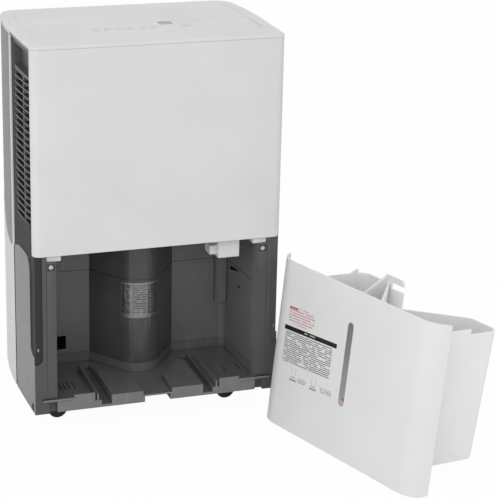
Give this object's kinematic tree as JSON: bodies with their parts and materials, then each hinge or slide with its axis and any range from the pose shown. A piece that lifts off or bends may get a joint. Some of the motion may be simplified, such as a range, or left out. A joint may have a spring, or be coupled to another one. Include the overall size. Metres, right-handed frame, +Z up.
{
  "type": "dehumidifier with removable water bucket",
  "caption": "Upright white dehumidifier on castors, with side louvres and an open bucket bay, and its water bucket standing beside it.",
  "frame": {"origin": "middle of the flat pad under the machine's base pan", "axes": "+Z up, +Y towards the machine's back, +X to the right as seen from the front; the bucket stands in front of the machine's right side"},
  "size_m": [0.6296, 0.6342, 0.608],
  "materials": {
    "white_abs": "fine satin moulding",
    "white_pp": "satin moulding",
    "grey_abs": "satin moulding",
    "mid_grey_abs": "satin moulding",
    "black_nylon": "satin",
    "smoked_window": "smoked, glossy",
    "zinc_steel": "zinc plated",
    "aluminium_fin": "mill",
    "black_enamel": "satin enamel",
    "copper": "drawn copper",
    "board_green": "lacquered",
    "silver_label": "satin foil",
    "float_foam": "foam"
  },
  "bodies": {
    "machine": {"base_pan": "grey_abs", "bay_liner": "grey_abs", "side_frame_left": "grey_abs", "side_frame_right": "grey_abs", "louvre_left": "grey_abs", "louvre_right": "grey_abs", "front_panel": "white_abs", "top_cover": "white_abs", "display_window": "smoked_window", "rear_shell": "white_abs", "rear_trim_left": "mid_grey_abs", "rear_trim_right": "mid_grey_abs", "evaporator_coil": "aluminium_fin", "condenser_coil": "aluminium_fin", "compressor": "black_enamel", "accumulator": "black_enamel", "discharge_tube": "copper", "suction_tube": "copper", "fan_scroll": "white_abs", "fan_motor": "zinc_steel", "drip_tray": "white_abs", "control_board": "board_green", "capacitor": "aluminium_fin", "pump_housing": "white_abs", "hose_duct": "grey_abs", "panel_clip_left": "white_abs", "panel_clip_right": "white_abs", "screw_left": "zinc_steel", "screw_right": "zinc_steel", "rating_label": "silver_label", "drain_outlet": "white_abs", "pump_outlet": "white_abs", "cord_gland": "black_nylon"},
    "key_1_body": {"key_1": "mid_grey_abs"},
    "key_2_body": {"key_2": "mid_grey_abs"},
    "key_3_body": {"key_3": "mid_grey_abs"},
    "key_4_body": {"key_4": "mid_grey_abs"},
    "key_5_body": {"key_5": "mid_grey_abs"},
    "key_6_body": {"key_6": "mid_grey_abs"},
    "key_power_body": {"key_power": "mid_grey_abs"},
    "filter": {"rear_grille": "white_abs", "air_filter": "black_nylon"},
    "blower": {"blower_wheel": "black_nylon"},
    "cap": {"drain_cap": "grey_abs"},
    "castor_front_left": {"castor_fork_front_left": "black_nylon", "castor_axle_front_left": "zinc_steel"},
    "castor_front_right": {"castor_fork_front_right": "black_nylon", "castor_axle_front_right": "zinc_steel"},
    "castor_back_left": {"castor_fork_back_left": "black_nylon", "castor_axle_back_left": "zinc_steel"},
    "castor_back_right": {"castor_fork_back_right": "black_nylon", "castor_axle_back_right": "zinc_steel"},
    "wheel_front_left": {"castor_wheel_front_left": "black_nylon"},
    "wheel_front_right": {"castor_wheel_front_right": "black_nylon"},
    "wheel_back_left": {"castor_wheel_back_left": "black_nylon"},
    "wheel_back_right": {"castor_wheel_back_right": "black_nylon"},
    "bucket": {"bucket_tub": "white_pp", "bucket_cover": "white_pp", "level_window": "smoked_window"},
    "float": {"bucket_float": "float_foam"}
  },
  "joints": [
    {"name": "key_1_press", "type": "slide", "parent": "machine", "child": "key_1_body", "axis": [0, 0, -1], "range_m": [0, 0.0006], "stiffness_N_per_m": 300, "springref_m": -0.0003},
    {"name": "key_2_press", "type": "slide", "parent": "machine", "child": "key_2_body", "axis": [0, 0, -1], "range_m": [0, 0.0006], "stiffness_N_per_m": 300, "springref_m": -0.0003},
    {"name": "key_3_press", "type": "slide", "parent": "machine", "child": "key_3_body", "axis": [0, 0, -1], "range_m": [0, 0.0006], "stiffness_N_per_m": 300, "springref_m": -0.0003},
    {"name": "key_4_press", "type": "slide", "parent": "machine", "child": "key_4_body", "axis": [0, 0, -1], "range_m": [0, 0.0006], "stiffness_N_per_m": 300, "springref_m": -0.0003},
    {"name": "key_5_press", "type": "slide", "parent": "machine", "child": "key_5_body", "axis": [0, 0, -1], "range_m": [0, 0.0006], "stiffness_N_per_m": 300, "springref_m": -0.0003},
    {"name": "key_6_press", "type": "slide", "parent": "machine", "child": "key_6_body", "axis": [0, 0, -1], "range_m": [0, 0.0006], "stiffness_N_per_m": 300, "springref_m": -0.0003},
    {"name": "key_power_press", "type": "slide", "parent": "machine", "child": "key_power_body", "axis": [0, 0, -1], "range_m": [0, 0.0006], "stiffness_N_per_m": 300, "springref_m": -0.0003},
    {"name": "filter_pull", "type": "slide", "parent": "machine", "child": "filter", "axis": [0, 1, 0], "range_m": [0, 0.03]},
    {"name": "blower_spin", "type": "hinge", "parent": "machine", "child": "blower", "pos_m": [0, 0, 0.405], "axis": [0, 1, 0], "continuous": true},
    {"name": "drain_cap_pull", "type": "slide", "parent": "machine", "child": "cap", "axis": [0, 1, 0], "range_m": [0, 0.02]},
    {"name": "castor_front_left_swivel", "type": "hinge", "parent": "machine", "child": "castor_front_left", "pos_m": [-0.138, -0.069, 0], "axis": [0, 0, 1], "continuous": true},
    {"name": "castor_front_right_swivel", "type": "hinge", "parent": "machine", "child": "castor_front_right", "pos_m": [0.138, -0.069, 0], "axis": [0, 0, 1], "continuous": true},
    {"name": "castor_back_left_swivel", "type": "hinge", "parent": "machine", "child": "castor_back_left", "pos_m": [-0.138, 0.086, 0], "axis": [0, 0, 1], "continuous": true},
    {"name": "castor_back_right_swivel", "type": "hinge", "parent": "machine", "child": "castor_back_right", "pos_m": [0.138, 0.086, 0], "axis": [0, 0, 1], "continuous": true},
    {"name": "wheel_front_left_roll", "type": "hinge", "parent": "castor_front_left", "child": "wheel_front_left", "pos_m": [-0.1448, -0.069, -0.021], "axis": [0, 1, 0], "continuous": true},
    {"name": "wheel_front_right_roll", "type": "hinge", "parent": "castor_front_right", "child": "wheel_front_right", "pos_m": [0.1312, -0.069, -0.021], "axis": [0, 1, 0], "continuous": true},
    {"name": "wheel_back_left_roll", "type": "hinge", "parent": "castor_back_left", "child": "wheel_back_left", "pos_m": [-0.1448, 0.086, -0.021], "axis": [0, 1, 0], "continuous": true},
    {"name": "wheel_back_right_roll", "type": "hinge", "parent": "castor_back_right", "child": "wheel_back_right", "pos_m": [0.1312, 0.086, -0.021], "axis": [0, 1, 0], "continuous": true},
    {"name": "bucket_lift", "type": "slide", "parent": "machine", "child": "bucket", "axis": [0, 0, 1], "range_m": [0, 0.3]},
    {"name": "float_swing", "type": "hinge", "parent": "bucket", "child": "float", "pos_m": [0.29685, -0.42104, 0.16539], "axis": [0.314, -0.9494, 0], "range_deg": [0, 18]}
  ]
}
